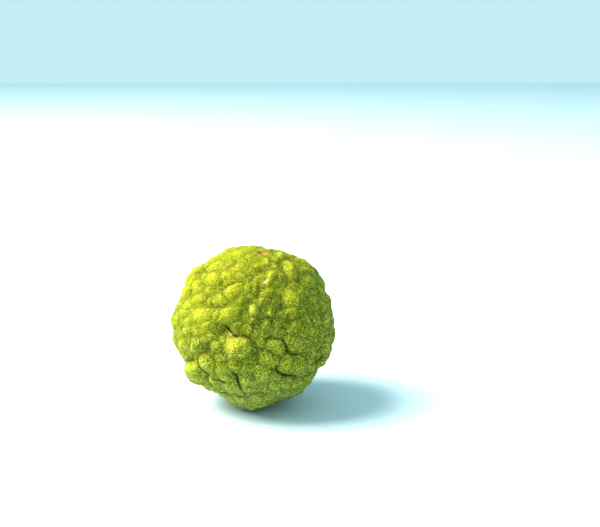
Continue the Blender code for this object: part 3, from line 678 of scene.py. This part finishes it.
rindPaint = {
    "heightRange": (-0.6, 2.2),  # millimetres, from the hollows to the crests
    "byHeight": [  # share of that range, colour; the hollows darker as painted shade, the crests yellower
        (0.1, (0.055, 0.093, 0.001, 1)),
        (0.45, (0.133, 0.168, 0.001, 1)),
        (0.85, (0.250, 0.268, 0.001, 1)),
    ],
    # painted light and shade: the lit side brighter and a little yellower, the far side darker
    "paintedLightTint": (1.38, 1.17, 0.78, 1),
    "paintedShadeTint": (0.45, 0.46, 0.74, 1),
    "ripe": (0.50, 0.44, 0.004, 1),
    "ripeStrength": 0.5,
    "blotches": (7 * mm, 3),  # size, detail
    "blotchRange": (0.5, 0.8),
    # a pale waxy bloom, also used for the underside's painted floor sheen
    "bloomAndSheen": (0.34, 0.38, 0.10, 1),
    "bloomStrength": 0.05,
    "floorSheenStrength": 0.6,
    "patches": (3.0 * mm, 2),
    "patchRange": (0.4, 0.7),
    "gland": (0.34, 0.46, 0.1, 1),
    "glandSpacing": 0.8 * mm,
    "glandLayers": [(0, 0, 0), (0.31, 0.17, 0.43)],  # how far each net is shifted
    "glandEdge": (0.16, 0.36),  # in spacings
    "glandDepth": 0.12 * mm,
    "grain": (0.45 * mm, 2),
    "grainDepth": 0.08 * mm,
    "pit": (0.36, 0.43, 0.15, 1),
    "pitRange": (0.46, 0.34),  # of the grain, from none to deepest
    # pale curls: partly the rind's pattern, partly painted fine glints
    "curlAndGlint": (0.66, 0.72, 0.13, 1),
    "curls": (0.92 * mm, 1),
    "curlLevel": 0.5,  # curls follow this level of their noise
    "curlWidth": 0.06,
    "curlInHollows": 0.3,  # strength there, against 1 on the crests
    "overlays": {  # laid over the rind in this order
        # near black painted shade in creases and furrows
        "crease": (0.03, 0.03, 0.003, 1),
        "stain": (0.22, 0.10, 0.015, 1),
        # whitish: painted glints, and one dry spot
        "glintsAndPale": (0.70, 0.68, 0.40, 1),
        "scar": (0.42, 0.25, 0.06, 1),
    },
    "roughness": (0.5, 0.7),
    "specular": 0.03,
    "scattering": 0.7,
    "scatterReach": (1.0, 1.0, 0.3),  # shares for red, green and blue
    "scatterDepth": 1.3 * mm,
}


def addNode(tree, kind, place, **settings):
    node = tree.nodes.new(kind)
    node.location = place
    for name, value in settings.items():
        setattr(node, name, value)
    return node


def readMark(tree, name, place):
    return addNode(tree, "ShaderNodeAttribute", place, attribute_name=name).outputs["Fac"]


def noiseOf(tree, coords, sizeAndDetail, place):
    size, detail = sizeAndDetail
    texture = addNode(tree, "ShaderNodeTexNoise", place)
    texture.inputs["Scale"].default_value = 1 / size
    texture.inputs["Detail"].default_value = detail
    tree.links.new(coords, texture.inputs["Vector"])
    return texture.outputs["Fac"]


def mapped(tree, value, fromRange, toRange, place, easing="LINEAR"):
    share = addNode(tree, "ShaderNodeMapRange", place, interpolation_type=easing)
    for side, start, end in zip(("Min", "Max"), fromRange, toRange):
        share.inputs["From " + side].default_value = start
        share.inputs["To " + side].default_value = end
    tree.links.new(value, share.inputs["Value"])
    return share.outputs["Result"]


# a sum on values that are numbers or come from other nodes
def calculated(tree, operation, values, place):
    result = addNode(tree, "ShaderNodeMath", place, operation=operation)
    for value, socket in zip(values, result.inputs):
        if isinstance(value, (int, float)):
            socket.default_value = value
        else:
            tree.links.new(value, socket)
    return result.outputs["Value"]


def laidOver(tree, below, colour, share, place, blend="MIX"):
    mix = addNode(tree, "ShaderNodeMix", place, data_type="RGBA", blend_type=blend)
    tree.links.new(share, mix.inputs["Factor"])
    tree.links.new(below, mix.inputs["A"])
    mix.inputs["B"].default_value = colour
    return mix.outputs["Result"]


# oil glands: the cells of two nets, one shifted against the other
def glandPattern(tree, coords):
    nearest = []
    for layer, shift in enumerate(rindPaint["glandLayers"]):
        moved = addNode(tree, "ShaderNodeVectorMath", (-2800, -300 - 200 * layer))
        moved.inputs[1].default_value = shift
        tree.links.new(coords, moved.inputs[0])
        cells = addNode(tree, "ShaderNodeTexVoronoi", (-2600, -300 - 200 * layer))
        cells.inputs["Scale"].default_value = 1 / rindPaint["glandSpacing"]
        tree.links.new(moved.outputs["Vector"], cells.inputs["Vector"])
        nearest.append(cells.outputs["Distance"])
    nearer = calculated(tree, "MINIMUM", nearest, (-2400, -300))
    return mapped(tree, nearer, rindPaint["glandEdge"], (1, 0), (-2200, -300), "SMOOTHSTEP")


# green and darker in the hollows, as painted shade, and yellower on the crests; the lit side is painted
# brighter and yellower, the far side darker
def groundColour(tree, coords, height):
    ramp = addNode(tree, "ShaderNodeValToRGB", (-2400, 900))
    stops = ramp.color_ramp.elements
    stops.remove(stops[1])
    stops[0].position, stops[0].color = rindPaint["byHeight"][0]
    for position, colour in rindPaint["byHeight"][1:]:
        stops.new(position).color = colour
    tree.links.new(height, ramp.inputs["Fac"])
    # painted light and shade: tinted from the shaded tint to the lit one
    lightAndRipeShare = readMark(tree, "lightAndRipeness", (-2800, 1250))
    tint = addNode(tree, "ShaderNodeMix", (-2600, 1250), data_type="RGBA")
    tint.inputs["A"].default_value = rindPaint["paintedShadeTint"]
    tint.inputs["B"].default_value = rindPaint["paintedLightTint"]
    tree.links.new(lightAndRipeShare, tint.inputs["Factor"])
    tinted = addNode(tree, "ShaderNodeMix", (-2100, 900), data_type="RGBA", blend_type="MULTIPLY")
    tinted.inputs["Factor"].default_value = 1
    tree.links.new(ramp.outputs["Color"], tinted.inputs["A"])
    tree.links.new(tint.outputs["Result"], tinted.inputs["B"])
    # ripe yellow blotches, the stronger where light is painted
    blotches = noiseOf(tree, coords, rindPaint["blotches"], (-2800, 1500))
    ripe = mapped(tree, blotches, rindPaint["blotchRange"], (0, rindPaint["ripeStrength"]), (-2600, 1500))
    ripe = calculated(tree, "MULTIPLY", (ripe, lightAndRipeShare), (-2400, 1500))
    return laidOver(tree, tinted.outputs["Result"], rindPaint["ripe"], ripe, (-1900, 900))


# a pale bloom in patches, and a painted sheen of the floor's reflection all over the underside
def bloomAndSheenShare(tree, coords):
    patches = noiseOf(tree, coords, rindPaint["patches"], (-2800, 600))
    bloomed = mapped(tree, patches, rindPaint["patchRange"], (0, rindPaint["bloomStrength"]), (-2600, 600))
    floorSheen = readMark(tree, "floorSheen", (-2600, 400))
    return calculated(tree, "MULTIPLY_ADD", (floorSheen, rindPaint["floorSheenStrength"], bloomed), (-2400, 600))


# fine pale lines that curl over the rind, strongest on the crests; partly the rind's pattern, partly
# painted fine glints
def curlAndGlintShare(tree, coords, height):
    curls = noiseOf(tree, coords, rindPaint["curls"], (-2800, 200))
    offLevel = calculated(tree, "SUBTRACT", (curls, rindPaint["curlLevel"]), (-2600, 200))
    offLine = calculated(tree, "ABSOLUTE", (offLevel,), (-2400, 200))
    onLine = mapped(tree, offLine, (rindPaint["curlWidth"], 0), (0, 1), (-2200, 300))
    onCrest = mapped(tree, height, (0, 1), (rindPaint["curlInHollows"], 1), (-2200, 600))
    return calculated(tree, "MULTIPLY", (onLine, onCrest), (-2000, 400))


def paintRind(piece):
    material = bpy.data.materials.new("limeRindPaint")
    material.use_nodes = True
    tree = material.node_tree
    link = tree.links.new
    shader = tree.nodes["Principled BSDF"]
    coords = addNode(tree, "ShaderNodeTexCoord", (-3000, 0)).outputs["Object"]
    glands = glandPattern(tree, coords)
    grain = noiseOf(tree, coords, rindPaint["grain"], (-2800, -800))
    flecks = readMark(tree, "flecks", (-2200, 0))
    relief = readMark(tree, "relief", (-2800, 900))
    height = mapped(tree, relief, rindPaint["heightRange"], (0, 1), (-2600, 900))

    colour = groundColour(tree, coords, height)
    colour = laidOver(tree, colour, rindPaint["bloomAndSheen"], bloomAndSheenShare(tree, coords), (-1700, 900))
    dots = calculated(tree, "MULTIPLY", (glands, flecks), (-1900, -200))
    colour = laidOver(tree, colour, rindPaint["gland"], dots, (-1500, 900), "MULTIPLY")
    pits = mapped(tree, grain, rindPaint["pitRange"], (0, 1), (-2200, -600))
    pits = calculated(tree, "MULTIPLY", (pits, flecks), (-1900, -500))
    colour = laidOver(tree, colour, rindPaint["pit"], pits, (-1300, 900), "MULTIPLY")
    curls = calculated(tree, "MULTIPLY", (curlAndGlintShare(tree, coords, height), flecks), (-1700, 300))
    colour = laidOver(tree, colour, rindPaint["curlAndGlint"], curls, (-1100, 900))
    # over it: painted shade in creases, stains, painted glints, and the scar
    for step, (mark, paint) in enumerate(rindPaint["overlays"].items()):
        share = readMark(tree, mark, (-1000 + 200 * step, 600))
        colour = laidOver(tree, colour, paint, share, (-900 + 200 * step, 900))
    link(colour, shader.inputs["Base Color"])

    gloss = mapped(tree, grain, (0, 1), rindPaint["roughness"], (-500, 0))
    link(gloss, shader.inputs["Roughness"])
    dimples = addNode(tree, "ShaderNodeBump", (-800, -300), invert=True)
    dimples.inputs["Strength"].default_value = 1
    dimples.inputs["Distance"].default_value = rindPaint["glandDepth"]
    link(glands, dimples.inputs["Height"])
    grit = addNode(tree, "ShaderNodeBump", (-500, -300))
    grit.inputs["Strength"].default_value = 1
    grit.inputs["Distance"].default_value = rindPaint["grainDepth"]
    link(grain, grit.inputs["Height"])
    link(dimples.outputs["Normal"], grit.inputs["Normal"])
    link(grit.outputs["Normal"], shader.inputs["Normal"])
    shader.inputs["Specular IOR Level"].default_value = rindPaint["specular"]
    shader.inputs["Subsurface Weight"].default_value = rindPaint["scattering"]
    shader.inputs["Subsurface Radius"].default_value = rindPaint["scatterReach"]
    shader.inputs["Subsurface Scale"].default_value = rindPaint["scatterDepth"]
    piece.data.materials.append(material)


rind = makeRind()
paintRind(rind)
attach(rind, "root")
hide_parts("makrut_lime")
print("rind painted")

studio = {
    "floorHalfSize": 3.0,
    "floorColour": (0.60, 0.74, 0.80, 1),
    "floorRoughness": 0.9,
    "keyFrom": (-0.75, -0.02, 0.80),
    "keyDistance": 2.0,
    "keySize": 1.2,
    "keyPower": 114,
    "keyColour": (1.0, 0.97, 0.85),
    "sky": (0.62, 0.94, 1.0, 1),
    "skyStrength": 0.9,
}


def makeFloor():
    slab = bmesh.new()
    bmesh.ops.create_grid(slab, x_segments=1, y_segments=1, size=studio["floorHalfSize"])
    mesh = bpy.data.meshes.new("studioFloor")
    slab.to_mesh(mesh)
    slab.free()
    material = bpy.data.materials.new("studioFloorPaint")
    material.use_nodes = True
    shader = material.node_tree.nodes["Principled BSDF"]
    shader.inputs["Base Color"].default_value = studio["floorColour"]
    shader.inputs["Roughness"].default_value = studio["floorRoughness"]
    mesh.materials.append(material)
    floor = bpy.data.objects.new("studioFloor", mesh)
    bpy.context.scene.collection.objects.link(floor)
    return floor


def addKey(target):
    light = bpy.data.lights.new("keyLight", "AREA")
    light.energy = studio["keyPower"]
    light.size = studio["keySize"]
    light.color = studio["keyColour"]
    key = bpy.data.objects.new("keyLight", light)
    key.location = target + Vector(studio["keyFrom"]).normalized() * studio["keyDistance"]
    key.rotation_euler = (target - key.location).to_track_quat("-Z", "Y").to_euler()
    bpy.context.scene.collection.objects.link(key)


def lightSky():
    world = bpy.data.worlds.new("studioSky")
    bpy.context.scene.world = world
    world.use_nodes = True
    sky = world.node_tree.nodes["Background"]
    sky.inputs["Color"].default_value = studio["sky"]
    sky.inputs["Strength"].default_value = studio["skyStrength"]


camera = {
    "lens": 60,  # millimetres, as the sensor
    "sensor": 36,
    "imageSize": (600, 527),
    "limeAt": (254, 327),  # where the middle of the fruit falls in the image
    "elevation": math.radians(16),
    "distance": 354.8 * mm,
    "nearest": 10 * mm,
    "aimingRounds": 6,
}


def addCamera(target):
    lens = bpy.data.cameras.new("studioCamera")
    lens.lens = camera["lens"]
    lens.sensor_width = camera["sensor"]
    lens.clip_start = camera["nearest"]
    eye = bpy.data.objects.new("studioCamera", lens)
    bpy.context.scene.collection.objects.link(eye)
    tilt = camera["elevation"]
    back = Vector((0, -math.cos(tilt), math.sin(tilt)))
    eye.location = target + back * camera["distance"]
    width, height = camera["imageSize"]
    focal = camera["lens"] / camera["sensor"] * width
    wanted = Vector((camera["limeAt"][0] - width / 2, height / 2 - camera["limeAt"][1]))
    aim = -back
    for _ in range(camera["aimingRounds"]):  # turns until the fruit falls at its place
        turn = aim.to_track_quat("-Z", "Y").to_matrix()
        seen = turn.transposed() @ (target - eye.location)
        miss = Vector((seen.x, seen.y)) * (focal / -seen.z) - wanted
        aim = (aim + (turn.col[0] * miss.x + turn.col[1] * miss.y) / focal).normalized()
    eye.rotation_euler = aim.to_track_quat("-Z", "Y").to_euler()
    bpy.context.scene.camera = eye


middle = Vector((0, 0, lime["centreHeight"]))
makeFloor()
addKey(middle)
lightSky()
addCamera(middle)
bpy.context.scene.view_settings.view_transform = "Standard"
print("studio ready")
